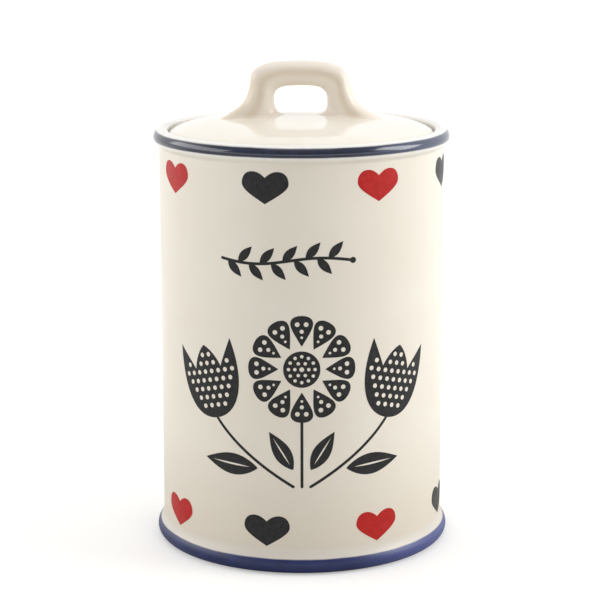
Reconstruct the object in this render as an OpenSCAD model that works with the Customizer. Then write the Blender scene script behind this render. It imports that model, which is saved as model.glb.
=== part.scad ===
// Biscuit jar: a glazed earthenware canister with a seated lid and a strap handle.
// The origin is the centre of the foot ring, on the surface the jar stands on.
// +Z is up and -Y is the front. Every length is in millimetres, every angle in degrees.

/* [Jar] */
// Radius of the straight outer wall
jar_r = 70.5; // [62:0.5:90]
// Height of the rim's crown above the foot
jar_h = 207.5; // [190:0.5:260]
// Thickness of the wall
wall_t = 5.5; // [4:0.1:7]
// Thickness of the floor
floor_t = 5; // [4:0.1:9]
// Radius of the cove between the floor and the wall, inside
cove_r = 8; // [3:0.5:14]
// Width of the foot ring's flat face
foot_w = 7; // [4:0.5:12]
// Hollow under the floor, inside the foot ring
foot_recess = 2; // [1:0.1:4]

/* [Beads] */
// How far the rolled rim bead stands out from the wall
rim_out = 2.7; // [1.5:0.1:4]
// Section radius of the rim bead
rim_bead_r = 4.4; // [4:0.1:5]
// Radius of the fillet below the rim bead
rim_fillet_r = 1.6; // [0.8:0.1:4]
// How far the rolled foot bead stands out from the wall
foot_out = 3.1; // [1.5:0.1:4]
// Section radius of the foot bead
foot_bead_r = 4.6; // [4:0.1:5]
// Radius of the sweep above the foot bead
foot_fillet_r = 8.6; // [3:0.1:14]

/* [Lid seat] */
// Depth of the seat below the rim's crown
seat_depth = 6.1; // [5:0.1:9]
// From the outer wall in to the recess that holds the lid
rim_lip = 4.3; // [2.5:0.1:4.5]
// Width of the ledge that carries the lid
ledge_w = 6.5; // [5:0.1:10]
// Thickness of the ledge at the mouth
ledge_t = 6; // [5.5:0.1:9]
// Slope under the ledge, down to the wall
ledge_slope = 6; // [3:0.5:12]

/* [Lid] */
// Thickness of the lid's edge
lid_edge_t = 3.7; // [3.6:0.1:5.5]
// Radius on the upper edge of the lid
lid_edge_r = 1.8; // [0.8:0.1:2.2]
// Rise of the shallow dome
dome_rise = 6.1; // [2:0.1:12]
// Extra drop of the dome where it rolls over to the edge
dome_roll = 2.3; // [0.5:0.1:4]
// Thickness of the cover
lid_t = 5.5; // [4:0.1:7]
// Depth of the plug ring below the seat
plug_h = 12; // [10:0.5:20]
// Thickness of the plug ring
plug_t = 5; // [4:0.1:7]

/* [Handle] */
// Height of the handle's top above the dome
handle_h = 26.4; // [20:0.2:40]
// Width of the handle across its shoulders
handle_w = 48.4; // [42:0.2:64]
// Height of the rounded shoulders
shoulder_h = 10; // [7:0.5:13]
// Depth of the strap, front to back
handle_d = 15; // [10:0.5:22]
// Width across the tips of the two feet
foot_span = 78.2; // [72:0.2:96]
// Depth of the feet, front to back
handle_foot_d = 17; // [12:0.5:26]
// Width of the finger window
window_w = 26; // [20:0.2:30]
// Height of the finger window above the dome
window_h = 14.2; // [12:0.2:18]
// Height of the window's rounded corners
window_corner_h = 8; // [3:0.5:9]
// How far each foot reaches in under the window
heel_in = 2.8; // [1:0.1:4]
// How far the top of the handle leans to the left
handle_lean = 1.1; // [-2:0.1:2]

/* [Seal] */
// Height of the seal's band
seal_h = 4; // [3.6:0.1:4.4]
// Thickness of each of the seal's fins
fin_t = 0.9; // [0.6:0.1:1.2]
// Depth of the seal's groove in the plug
groove_d = 1.5; // [1:0.1:2.2]

/* [Glaze bands] */
// Thickness of the glaze bands and of the printed transfers
glaze_t = 0.25; // [0.15:0.05:0.4]
// Lower edge of the rim band, below the rim's crown
rim_band_low = 5.4; // [4.5:0.1:6.2]
// Upper edge of the rim band, below the rim's crown
rim_band_top = 1; // [0.8:0.1:2.4]
// Lower edge of the foot band, above the foot
foot_band_low = 0.4; // [0.3:0.1:1.2]
// Upper edge of the foot band, above the foot
foot_band_top = 7.7; // [7.4:0.1:8.4]

/* [Hearts] */
// Number of hearts in each row, red and charcoal in turn
hearts = 8; // [4:2:10]
// Width of a heart
heart_w = 22.6; // [14:0.2:26]
// Height of a heart, tip to lobe
heart_h = 15.3; // [10:0.1:20]
// Depth of the cleft between the lobes
cleft_h = 2.9; // [1.5:0.1:5]
// From the fillet under the rim bead down to the upper hearts
upper_row = 2.8; // [1:0.1:12]
// From the top of the foot bead's sweep up to the tips of the lower hearts
lower_row = 0.2; // [0.2:0.1:10]
// Turn of both rows away from the front
row_turn = -14; // [-22:0.2:22]

/* [Front prints] */
// From the lower hearts up to the flower print
flower_gap = 15; // [6:0.5:24]
// From the flower print up to the sprig
sprig_gap = 16.5; // [6:0.5:24]
// Width of the flower print along the wall
flower_w = 140; // [110:1:150]
// From the upper hearts' tips down to the middle of the sprig
sprig_drop = 26.8; // [18:0.2:34]
// Length of the sprig print along the wall
sprig_w = 64; // [40:1:80]
// Turn of the sprig print away from the front
sprig_turn = -6; // [-15:0.5:15]
// Radius of the middle bloom
bloom_r = 26; // [18:0.5:30]
// Petals of the middle bloom
petals = 12; // [8:1:14]
// Width of each tulip
tulip_w = 36; // [24:0.5:42]
// Height of each tulip
tulip_h = 37; // [26:0.5:42]
// Lean of each tulip away from the middle
tulip_lean = 14; // [0:1:20]
// Length of the large leaves
leaf_l = 29; // [18:0.5:32]
// Width of the large leaves
leaf_w = 10.5; // [6:0.5:13]
// Width of the printed stems
stem_w = 1.4; // [0.9:0.1:2]
// Length of the sprig's leaves
sprig_leaf_l = 10.5; // [6:0.5:13]
// Width of the sprig's leaves
sprig_leaf_w = 4.2; // [2.5:0.1:6]
// Leaves along each side of the sprig
sprig_leaves = 5; // [3:1:6]

/* [Fits] */
// Gap between the lid's edge and its recess
lid_gap = 0.8; // [0.4:0.1:1.2]
// Gap between the plug ring and the mouth
plug_gap = 3; // [2:0.1:4]
// Running gap round the seal, both to the mouth and to its groove
seal_gap = 0.3; // [0.2:0.05:0.5]

/* [Hidden] */
$fn = 96;

cream = [0.92, 0.9, 0.85];
ivory = [0.97, 0.95, 0.9];
blue = [0.15, 0.18, 0.33];
red = [0.7, 0.13, 0.11];
charcoal = [0.17, 0.17, 0.18];
clear_grey = [0.8, 0.82, 0.82];

arc_steps = 10;        // straight steps in an arc of a section
over = 1;              // how far a cutting solid runs past the face that it cuts

// Jar
inner_r = jar_r - wall_t;
floor_z = foot_recess + floor_t;
rim_bead_x = jar_r + rim_out - rim_bead_r;
rim_bead_z = jar_h - rim_bead_r;
foot_bead_x = jar_r + foot_out - foot_bead_r;
foot_bead_z = foot_bead_r;
rim_reach = fillet_reach(rim_out, rim_bead_r, rim_fillet_r);
foot_reach = fillet_reach(foot_out, foot_bead_r, foot_fillet_r);
rim_tangent = fillet_tangent(rim_out, rim_bead_r, rim_fillet_r);
foot_tangent = fillet_tangent(foot_out, foot_bead_r, foot_fillet_r);
rim_fillet_z = rim_bead_z - rim_reach;
foot_fillet_z = foot_bead_z + foot_reach;

// Lid seat
recess_r = jar_r - rim_lip;
mouth_r = recess_r - ledge_w;
seat_z = jar_h - seat_depth;
lip_angle = acos((recess_r - rim_bead_x) / rim_bead_r);

// Lid
lid_r = recess_r - lid_gap;
dome_power = 12;       // how late the dome rolls over: higher is nearer the edge
crown_z = seat_z + lid_edge_t + dome_roll + dome_rise;
edge_angle = 55;       // where the dome meets the edge's radius
edge_x = lid_r - lid_edge_r;
edge_start_r = edge_x + lid_edge_r * cos(edge_angle);
edge_z = dome_z(edge_start_r) - lid_edge_r * sin(edge_angle);
foot_corner_r = 1;     // radius on the lid's lower edge
dome_steps = 26;
plug_r = mouth_r - plug_gap;
plug_in_r = plug_r - plug_t;
plug_chamfer = 1;

// Seal, in a groove halfway up the mouth
seal_z = seat_z - ledge_t / 2 - seal_h / 2;
seal_in_r = plug_r - groove_d + seal_gap;
seal_out_r = mouth_r - seal_gap;
seal_stand = 0.6;      // how far the band stands out of its groove
seal_band_r = plug_r + seal_stand;
fin_lift = 0.7;        // rise of each fin from the band to its tip

// Handle
handle_top_z = crown_z + handle_h;
window_top_z = crown_z + window_h;
foot_x = foot_span / 2;
heel_x = window_w / 2 - heel_in;
handle_steps = 20;     // rings from the middle of the bar to one foot
ring_points = 24;
bar_power = 2.4;       // how square the strap's section is
shoulder_power = 2.7;  // how square its shoulders are
window_power = 3.4;    // how square the window's corners are
window_mid_z = crown_z + 0.4 * window_h;
window_low_z = crown_z + 0.15 * window_h;
leg_lean = 0.245;      // how far a leg leans out for each millimetre of height
leg_pull = 0.483 * handle_h;
foot_pull = 0.465 * handle_h;
foot_angle = 36;       // slope at which the outer side runs out at the tip of the foot
foot_sink = 6;         // how far the feet run on below the dome before they are cut to it
side_steps = 12;

// Prints
row_step = 360 / hearts;
print_r = jar_r + glaze_t;
wall_turn = 180 / (PI * jar_r);      // degrees round the wall to one millimetre along it
upper_tip_z = rim_fillet_z - upper_row - heart_h;
lower_tip_z = foot_fillet_z + lower_row;
flower_base = lower_tip_z + heart_h + flower_gap;
sprig_z = upper_tip_z - sprig_drop;
sprig_wave = 1.6;                    // swing of the sprig's stem
sprig_leaf_angle = 48;
sprig_half_h = sprig_leaf_l * sin(sprig_leaf_angle) + sprig_wave;
flower_h = sprig_z - sprig_half_h - sprig_gap - flower_base;
bloom_z = flower_h - bloom_r;        // middle of the bloom, above the print's base
bloom_core_r = 0.34 * bloom_r;       // dark middle of the bloom
bloom_gap_r = 0.43 * bloom_r;        // where its petals begin
bloom_wide_r = 0.85 * bloom_r;       // where they are widest
petal_gap = 0.8;                     // bare wall between two petals there
petal_w = 2 * PI * bloom_wide_r / petals - petal_gap;
tulip_top_z = 0.8 * flower_h;        // tip of a tulip before it leans, above the print's base
tulip_out = (flower_w - tulip_w) / 2 - tulip_h * sin(tulip_lean);
tulip_root_z = tulip_top_z - tulip_h * cos(tulip_lean);
stem_foot = 3 * stem_w;              // how far the outer stems start from the middle one
fork_z = 0.1 * flower_h;             // where the leaves start, above the print's base
leaf_angle = 4;                      // rise of the outer leaves
inner_leaf_angle = 58;
inner_leaf_l = 0.75 * leaf_l;
inner_leaf_w = 0.8 * leaf_w;
sprig_first = -0.9;                  // the first leaf's place on the stem, from -1 to 1 along it
sprig_run = 1.7;                     // from the first leaf to one step past the last
berry_r = 1.5;

// ---- Small functions ----

// A point at an angle on a circle about (x, z).
function on_circle(x, z, r, a) = [x + r * cos(a), z + r * sin(a)];

// Points along an arc about (x, z) from angle a to angle b.
function arc(x, z, r, a, b, n = arc_steps) = [for (i = [0:n]) on_circle(x, z, r, a + (b - a) * i / n)];

// Points along a cubic curve.
function curve(p, n) = [for (i = [0:n]) curve_at(p, i / n)];
function curve_at(p, t) = pow(1 - t, 3) * p[0] + 3 * pow(1 - t, 2) * t * p[1]
    + 3 * (1 - t) * t * t * p[2] + pow(t, 3) * p[3];

// Height between the centre of a bead, which stands out from the wall by out, and the centre of the
// fillet that runs from the wall onto it.
function fillet_reach(out, r, f) = sqrt(pow(f + r, 2) - pow(r - out + f, 2));

// Angle, seen from the bead's centre, at which bead and fillet touch.
function fillet_tangent(out, r, f) = atan2(fillet_reach(out, r, f), r - out + f);

// Height of the lid's upper face at a distance from the axis.
function dome_z(r) = crown_z - dome_rise * pow(r / lid_r, 2) - dome_roll * pow(r / lid_r, dome_power);

// A rounded corner, from straight above to straight beside, as wide as w and as high as h.
function corner(w, h, power, t) = [w * pow(sin(90 * t), 2 / power), h * pow(cos(90 * t), 2 / power)];

// Mirrors an outline's points about the vertical.
function mirrored(p) = [for (i = [len(p) - 1:-1:0]) [-p[i].x, p[i].y]];

// ---- Jar ----

function jar_outline() = concat(
    [[0, foot_recess], [foot_bead_x - foot_w - foot_recess, foot_recess], [foot_bead_x - foot_w, 0]],
    arc(foot_bead_x, foot_bead_z, foot_bead_r, -90, foot_tangent),
    arc(jar_r + foot_fillet_r, foot_fillet_z, foot_fillet_r, 180 + foot_tangent, 180),
    arc(jar_r + rim_fillet_r, rim_fillet_z, rim_fillet_r, 180, 180 - rim_tangent),
    arc(rim_bead_x, rim_bead_z, rim_bead_r, -rim_tangent, lip_angle, 2 * arc_steps),
    [[recess_r, seat_z], [mouth_r, seat_z], [mouth_r, seat_z - ledge_t],
     [inner_r, seat_z - ledge_t - ledge_slope]],
    arc(inner_r - cove_r, floor_z + cove_r, cove_r, 0, -90),
    [[0, floor_z]]);

module jar_body() {
    color(cream)
        rotate_extrude()
            difference() {
                polygon(jar_outline());
                rim_band_section(over);
                foot_band_section(over);
            }
}

// The glaze bands lie in the bead's surface. The jar is cut back under them by the same section,
// let out past the surface by proud.
module rim_band_section(proud = 0) {
    low = asin((rim_bead_r - rim_band_low) / rim_bead_r);
    top = asin((rim_bead_r - rim_band_top) / rim_bead_r);
    polygon(concat(
        arc(rim_bead_x, rim_bead_z, rim_bead_r + proud, low, top),
        arc(rim_bead_x, rim_bead_z, rim_bead_r - glaze_t, top, low)));
}

module foot_band_section(proud = 0) {
    low = asin((foot_band_low - foot_bead_z) / foot_bead_r);
    top = 180 + asin((foot_fillet_z - foot_band_top) / foot_fillet_r);
    sweep_x = jar_r + foot_fillet_r;
    polygon(concat(
        arc(foot_bead_x, foot_bead_z, foot_bead_r + proud, low, foot_tangent),
        arc(sweep_x, foot_fillet_z, foot_fillet_r - proud, 180 + foot_tangent, top),
        arc(sweep_x, foot_fillet_z, foot_fillet_r + glaze_t, top, 180 + foot_tangent),
        arc(foot_bead_x, foot_bead_z, foot_bead_r - glaze_t, foot_tangent, low)));
}

module rim_band() {
    color(blue)
        rotate_extrude()
            rim_band_section();
}

module foot_band() {
    color(blue)
        rotate_extrude()
            foot_band_section();
}

// ---- Prints: a flat motif, wrapped on the wall as a skin ----

// Stands a flat motif up against the wall, at an angle to the right of the front.
module on_wall(angle, z) {
    rotate([0, 0, angle])
        translate([0, 0, z])
            rotate([90, 0, 0])
                linear_extrude(jar_r + 2 * over)
                    children();
}

// Keeps only the skin of what stands against the wall.
module as_skin() {
    intersection() {
        union()
            children();
        difference() {
            cylinder(h = jar_h, r = print_r);
            translate([0, 0, -over])
                cylinder(h = jar_h + 2 * over, r = jar_r);
        }
    }
}

module heart() {
    half = heart_w / 2;
    lobe = 0.53 * half;
    shoulder_z = 0.63 * heart_h;
    side = concat(
        curve([[0, 0], [0.45 * half, 0.21 * heart_h], [half, 0.42 * heart_h], [half, shoulder_z]],
              side_steps),
        curve([[half, shoulder_z], [half, 0.86 * heart_h], [0.82 * half, heart_h], [lobe, heart_h]],
              side_steps),
        curve([[lobe, heart_h], [0.3 * half, heart_h], [0.12 * half, heart_h - 0.55 * cleft_h],
               [0, heart_h - cleft_h]], side_steps));
    polygon(concat(side, mirrored(side)));
}

// Every second heart of both rows, starting from the one numbered first.
module heart_rows(first) {
    as_skin()
        for (i = [first:2:hearts - 1])
            for (z = [lower_tip_z, upper_tip_z])
                on_wall(row_turn + i * row_step, z)
                    heart();
}

module hearts_red() {
    color(red)
        heart_rows(1);
}

module hearts_charcoal() {
    color(charcoal)
        heart_rows(0);
}

// A pointed leaf along +X from the origin.
module leaf(l, w) {
    side = [for (i = [0:side_steps]) let (t = i / side_steps) [l * t, w / 2 * sin(180 * pow(t, 0.85))]];
    polygon(concat(side, [for (i = [side_steps - 1:-1:1]) [side[i].x, -side[i].y]]));
}

// A strip of one width along a list of points.
module strip(p, w) {
    n = len(p) - 1;
    way = [for (i = [0:n]) let (d = p[min(i + 1, n)] - p[max(i - 1, 0)]) [-d.y, d.x] / norm(d)];
    polygon(concat([for (i = [0:n]) p[i] + way[i] * w / 2], [for (i = [n:-1:0]) p[i] - way[i] * w / 2]));
}

// A stem between two points of the flat print, stood up by its own middle so that it wraps truly.
module stem(a, b, bend) {
    mid = (a + b) / 2;
    on_wall(mid.x * wall_turn, flower_base + mid.y)
        strip(curve([a - mid, (a - b) * 0.15 + [bend, 0], (b - a) * 0.2 + [bend, 0], b - mid], side_steps),
              stem_w);
}

module bloom() {
    circle(r = bloom_core_r);
    for (i = [0:petals - 1])
        rotate(i * 360 / petals)
            translate([bloom_gap_r, 0])
                petal(bloom_r - bloom_gap_r, petal_w);
}

// A petal along +X, broad and round at its outer end.
module petal(l, w) {
    side = [for (i = [0:side_steps]) let (t = i / side_steps)
        [l * (1 - pow(1 - t, 1.5)), w / 2 * pow(sin(180 * pow(t, 1.35)), 0.7)]];
    polygon(concat(side, [for (i = [side_steps - 1:-1:1]) [side[i].x, -side[i].y]]));
}

// A tulip that stands on the origin, with two outer tips and a middle one.
module tulip() {
    half = tulip_w / 2;
    side = concat(
        curve([[0, 0], [0.75 * half, 0], [1.12 * half, 0.42 * tulip_h], [0.92 * half, tulip_h]], side_steps),
        curve([[0.92 * half, tulip_h], [0.72 * half, 0.86 * tulip_h], [0.6 * half, 0.78 * tulip_h],
               [0.45 * half, 0.66 * tulip_h]], side_steps / 2),
        curve([[0.45 * half, 0.66 * tulip_h], [0.36 * half, 0.8 * tulip_h], [0.2 * half, 0.9 * tulip_h],
               [0, 0.96 * tulip_h]], side_steps / 2));
    polygon(concat(side, mirrored(side)));
}

// A leaf that springs from the fork line of the flower print, at x along the wall.
module flower_leaf(x, angle, l, w) {
    on_wall(x * wall_turn, flower_base + fork_z)
        rotate(x > 0 ? angle : 180 - angle)
            leaf(l, w);
}

module flower_print() {
    color(charcoal)
        as_skin() {
            on_wall(0, flower_base + bloom_z)
                bloom();
            stem([0, 0], [0, bloom_z - bloom_r], 0);
            for (side = [-1, 1]) {
                on_wall(side * tulip_out * wall_turn, flower_base + tulip_root_z)
                    rotate(-side * tulip_lean)
                        tulip();
                stem([side * stem_foot, 0], [side * tulip_out, tulip_root_z], side * stem_foot);
                flower_leaf(side * stem_foot, inner_leaf_angle, inner_leaf_l, inner_leaf_w);
                flower_leaf(side * tulip_out / 2, leaf_angle, leaf_l, leaf_w);
            }
        }
}

// Height of the sprig's stem along its length, u = -1 to 1.
function sprig_stem(u) = [u * sprig_w / 2, sprig_wave * sin(180 * u)];

module sprig_print() {
    color(charcoal)
        as_skin()
            on_wall(sprig_turn, sprig_z) {
                strip([for (i = [-side_steps:side_steps]) sprig_stem(i / side_steps)], stem_w);
                translate(sprig_stem(1))
                    circle(r = berry_r);
                for (i = [0:sprig_leaves - 1], side = [-1, 1])
                    translate(sprig_stem(sprig_first + sprig_run * (i + max(0, side) / 2) / sprig_leaves))
                        rotate(side * sprig_leaf_angle)
                            leaf(sprig_leaf_l, sprig_leaf_w);
            }
}

// ---- Lid ----

function lid_outline() = concat(
    [for (i = [0:dome_steps]) let (r = edge_start_r * i / dome_steps) [r, dome_z(r)]],
    arc(edge_x, edge_z, lid_edge_r, edge_angle, 0),
    arc(lid_r - foot_corner_r, seat_z + foot_corner_r, foot_corner_r, 0, -90),
    [[plug_r, seat_z], [plug_r, seat_z - plug_h + plug_chamfer],
     [plug_r - plug_chamfer, seat_z - plug_h], [plug_in_r, seat_z - plug_h]],
    [for (i = [dome_steps:-1:0]) let (r = plug_in_r * i / dome_steps) [r, dome_z(r) - lid_t]]);

module lid_cover() {
    color(ivory)
        rotate_extrude()
            difference() {
                polygon(lid_outline());
                translate([plug_r - groove_d, seal_z])
                    square([groove_d + over, seal_h]);
            }
}

// ---- Handle: a ring of points swept from one foot, over the bar, to the other ----

// Outer side of the strap: a rounded shoulder, then a sweep out to the tip of the foot.
function strap_out(t) =
    let (shoulder = [handle_w / 2, handle_top_z - shoulder_h], tip = [foot_x, dome_z(foot_x)])
    t < 0.5
    ? [0, shoulder.y] + corner(shoulder.x, shoulder_h, shoulder_power, 2 * t)
    : curve_at([shoulder, shoulder + leg_pull * [leg_lean, -1],
                tip + foot_pull * [-cos(foot_angle), sin(foot_angle)], tip], 2 * t - 1);

// Inner side of the strap: the window's corner, then its side, down to the heel.
function strap_in(t) =
    let (side_x = window_w / 2, corner_z = window_top_z - window_corner_h)
    t < 0.5
    ? [0, corner_z] + corner(side_x, window_corner_h, window_power, 2 * t)
    : curve_at([[side_x, corner_z], [side_x, window_mid_z], [side_x, window_low_z],
                [heel_x, dome_z(heel_x)]], 2 * t - 1);

// How far the strap has leant to the side at a height.
function lean(z) = -handle_lean * (z - crown_z) / handle_h;

function strap_depth(t) = handle_d + (handle_foot_d - handle_d) * pow(max(0, 2 * t - 1), 2);

// One ring of the strap, t = 0 in the middle of the bar and t = 1 at a foot, side = 1 or -1.
function ring(t, side, drop = 0) =
    let (a = strap_out(t), b = strap_in(t), mid = (a + b) / 2, half = (a - b) / 2, d = strap_depth(t) / 2)
    [for (i = [0:ring_points - 1])
        let (w = 360 * i / ring_points, c = cos(w), s = sin(w),
             along = sign(c) * pow(abs(c), 2 / bar_power), across = sign(s) * pow(abs(s), 2 / bar_power),
             p = mid + half * along)
        [side * p.x + lean(p.y), across * d, p.y - drop]];

module strap() {
    half = [for (i = [0:handle_steps]) i / handle_steps];
    left = [for (i = [handle_steps:-1:1]) ring(half[i], -1)];
    right = [for (i = [0:handle_steps]) ring(half[i], 1)];
    rings = concat([ring(1, -1, foot_sink)], left, right, [ring(1, 1, foot_sink)]);
    n = ring_points;
    last = (len(rings) - 1) * n;
    sides = [for (k = [0:len(rings) - 2], i = [0:n - 1])
        let (j = (i + 1) % n, a = k * n + i, b = k * n + j)
        each [[a, b, b + n], [a, b + n, a + n]]];
    polyhedron(
        points = [for (r = rings) each r],
        faces = concat([[for (i = [n - 1:-1:0]) i]], sides, [[for (i = [0:n - 1]) last + i]]));
}

module lid_handle() {
    color(ivory)
        difference() {
            strap();
            rotate_extrude()
                polygon(concat(
                    [[0, crown_z - foot_sink - lid_t - over]],
                    [[edge_start_r, crown_z - foot_sink - lid_t - over]],
                    [for (i = [dome_steps:-1:0]) let (r = edge_start_r * i / dome_steps) [r, dome_z(r)]]));
        }
}

// ---- Seal: a band in the plug's groove, with two thin fins that reach for the mouth ----

module lid_seal() {
    color(clear_grey)
        rotate_extrude()
            union() {
                translate([seal_in_r, seal_z])
                    square([seal_band_r - seal_in_r, seal_h]);
                for (z = [seal_z, seal_z + seal_h - fin_t - fin_lift])
                    polygon([[seal_band_r - over / 2, z], [seal_out_r, z + fin_lift],
                             [seal_out_r, z + fin_lift + fin_t], [seal_band_r - over / 2, z + fin_t]]);
            }
}

jar_body();
rim_band();
foot_band();
hearts_red();
hearts_charcoal();
flower_print();
sprig_print();
lid_cover();
lid_handle();
lid_seal();
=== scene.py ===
"""Dresses the biscuit jar: glazed shells, a strap handle, printed transfers and studio light.

Lengths are in millimetres until a mesh is made. Meshes, materials and the studio are in metres.
+Z is up and -Y is the front.
"""

import math

import bpy
from mathutils import Matrix, Vector
from mathutils.geometry import delaunay_2d_cdt


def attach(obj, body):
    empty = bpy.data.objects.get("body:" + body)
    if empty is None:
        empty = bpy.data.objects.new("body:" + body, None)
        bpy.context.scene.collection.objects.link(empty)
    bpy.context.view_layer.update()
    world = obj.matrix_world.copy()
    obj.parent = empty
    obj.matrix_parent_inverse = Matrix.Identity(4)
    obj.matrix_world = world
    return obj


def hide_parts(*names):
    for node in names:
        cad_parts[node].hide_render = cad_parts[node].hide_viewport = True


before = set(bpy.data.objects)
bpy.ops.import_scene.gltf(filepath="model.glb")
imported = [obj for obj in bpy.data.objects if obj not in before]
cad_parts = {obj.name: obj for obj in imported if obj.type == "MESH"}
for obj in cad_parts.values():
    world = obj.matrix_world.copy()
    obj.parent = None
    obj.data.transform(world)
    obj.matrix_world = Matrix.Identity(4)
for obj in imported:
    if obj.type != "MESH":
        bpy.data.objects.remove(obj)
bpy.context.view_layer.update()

MM = 0.001

# ---- Sizes, the same as the CAD model's ----

JAR_R = 70.5
JAR_H = 207.5
WALL_T = 5.5
FLOOR_T = 5
COVE_R = 8
FOOT_W = 7
FOOT_RECESS = 2
RIM_OUT = 2.7
RIM_BEAD_R = 4.4
RIM_FILLET_R = 1.6
FOOT_OUT = 3.1
FOOT_BEAD_R = 4.6
FOOT_FILLET_R = 8.6
SEAT_DEPTH = 6.1
RIM_LIP = 4.3
LEDGE_W = 6.5
LEDGE_T = 6
LEDGE_SLOPE = 6
LID_EDGE_T = 3.7
LID_EDGE_R = 1.8
DOME_RISE = 6.1
DOME_ROLL = 2.3
DOME_POWER = 12
LID_T = 5.5
PLUG_H = 12
PLUG_T = 5
HANDLE_H = 26.4
HANDLE_W = 48.4
SHOULDER_H = 10
HANDLE_D = 15
FOOT_SPAN = 78.2
HANDLE_FOOT_D = 17
WINDOW_W = 26
WINDOW_H = 14.2
WINDOW_CORNER_H = 8
HEEL_IN = 2.8
HANDLE_LEAN = 1.1
SEAL_H = 4
FIN_T = 0.9
FIN_LIFT = 0.7
SEAL_STAND = 0.6
GROOVE_D = 1.5
RIM_BAND_LOW = 5.4
RIM_BAND_TOP = 1
FOOT_BAND_LOW = 0.4
FOOT_BAND_TOP = 7.7
LID_GAP = 0.8
PLUG_GAP = 3
SEAL_GAP = 0.3

INNER_R = JAR_R - WALL_T
FLOOR_Z = FOOT_RECESS + FLOOR_T
RECESS_R = JAR_R - RIM_LIP
MOUTH_R = RECESS_R - LEDGE_W
SEAT_Z = JAR_H - SEAT_DEPTH
LID_R = RECESS_R - LID_GAP
CROWN_Z = SEAT_Z + LID_EDGE_T + DOME_ROLL + DOME_RISE
PLUG_R = MOUTH_R - PLUG_GAP
PLUG_IN_R = PLUG_R - PLUG_T
SEAL_Z = SEAT_Z - LEDGE_T / 2 - SEAL_H / 2
HANDLE_TOP_Z = CROWN_Z + HANDLE_H

# ---- Hearts and front prints ----

HEARTS = 8
HEART_W = 22.6
HEART_H = 15.3
CLEFT_H = 2.9
UPPER_ROW = 2.8
LOWER_ROW = 0.2
ROW_TURN = -14
FLOWER_GAP = 15
SPRIG_GAP = 16.5
FLOWER_W = 140
SPRIG_DROP = 26.8
SPRIG_W = 64
SPRIG_TURN = -6
BLOOM_R = 26
PETALS = 12
TULIP_W = 36
TULIP_H = 37
TULIP_LEAN = 14
LEAF_L = 29
LEAF_W = 10.5
STEM_W = 1.4
SPRIG_LEAF_L = 10.5
SPRIG_LEAF_W = 4.2
SPRIG_LEAVES = 5

# ---- Fineness ----

TURN_STEPS = 192  # facets round a turned piece
ARC_STEPS = 16
SHELL_IN = 0.09  # how far the jar's outside stays within the CAD's, to leave room for the prints
PRINT_LIFT = 0.06  # how far a transfer or glaze line stands out of the glaze
PRINT_SINK = 0.05
PRINT_GRID = 2.5  # spacing of the points that let a flat print follow the wall
GRID_CLEAR = 0.4  # share of that spacing that they keep clear of a print's edge
LINE_FADE = 0.35  # half the width over which a glaze line's edge thins out
LINE_SPREAD = 0.5  # how far a line's mesh runs past the CAD's edge, for that thinning
FOOT_SPREAD = 0.2  # the same at the ground
FOOT_RISE = 0.35  # how much higher the foot line's edge runs at the sides and behind than in front


def on_circle(x, z, r, angle):
    return Vector((x + r * math.cos(angle), z + r * math.sin(angle)))


def arc(x, z, r, start, end, steps=ARC_STEPS):
    """Points along an arc about (x, z), from one angle to another, in radians."""
    return [on_circle(x, z, r, start + (end - start) * i / steps) for i in range(steps + 1)]


def curve(points, steps):
    """Points along a cubic curve."""
    return [curve_at(points, i / steps) for i in range(steps + 1)]


def curve_at(points, t):
    a, b, c, d = (Vector(p) for p in points)
    s = 1 - t
    return s**3 * a + 3 * s * s * t * b + 3 * s * t * t * c + t**3 * d


def rounded(corners, steps=6):
    """A path through (x, z, radius) corners, each turned on its own radius."""
    path = []
    for i, (x, z, radius) in enumerate(corners):
        here = Vector((x, z))
        if radius == 0 or i in (0, len(corners) - 1):
            path.append(here)
            continue
        back = (Vector(corners[i - 1][:2]) - here).normalized()
        on = (Vector(corners[i + 1][:2]) - here).normalized()
        half = back.angle(on) / 2
        centre = here + (back + on).normalized() * radius / math.sin(half)
        start = here + back * radius / math.tan(half) - centre
        sweep = start.angle_signed(here + on * radius / math.tan(half) - centre)
        first = math.atan2(start.y, start.x)
        path += arc(centre.x, centre.y, radius, first, first - sweep, steps)
    return path


def fillet_reach(out, bead_r, fillet_r):
    """Height from a bead's centre to the centre of the fillet that runs it into the wall."""
    return math.sqrt((fillet_r + bead_r) ** 2 - (bead_r - out + fillet_r) ** 2)


def fillet_tangent(out, bead_r, fillet_r):
    """Angle on a bead where its fillet starts."""
    return math.atan2(fillet_reach(out, bead_r, fillet_r), bead_r - out + fillet_r)


RIM_BEAD_X = JAR_R + RIM_OUT - RIM_BEAD_R
RIM_BEAD_Z = JAR_H - RIM_BEAD_R
FOOT_BEAD_X = JAR_R + FOOT_OUT - FOOT_BEAD_R
RIM_TANGENT = fillet_tangent(RIM_OUT, RIM_BEAD_R, RIM_FILLET_R)
FOOT_TANGENT = fillet_tangent(FOOT_OUT, FOOT_BEAD_R, FOOT_FILLET_R)
RIM_FILLET_Z = RIM_BEAD_Z - fillet_reach(RIM_OUT, RIM_BEAD_R, RIM_FILLET_R)
FOOT_FILLET_Z = FOOT_BEAD_R + fillet_reach(FOOT_OUT, FOOT_BEAD_R, FOOT_FILLET_R)


def dome_z(r):
    """Height of the lid's upper face at a distance from the axis."""
    return CROWN_Z - DOME_RISE * (r / LID_R) ** 2 - DOME_ROLL * (r / LID_R) ** DOME_POWER


def dome_slope(r):
    """How steeply the lid's upper face falls at a distance from the axis."""
    rolled = DOME_POWER * DOME_ROLL * (r / LID_R) ** (DOME_POWER - 1)
    return (2 * DOME_RISE * r / LID_R + rolled) / LID_R


# ---- Meshes ----


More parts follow.
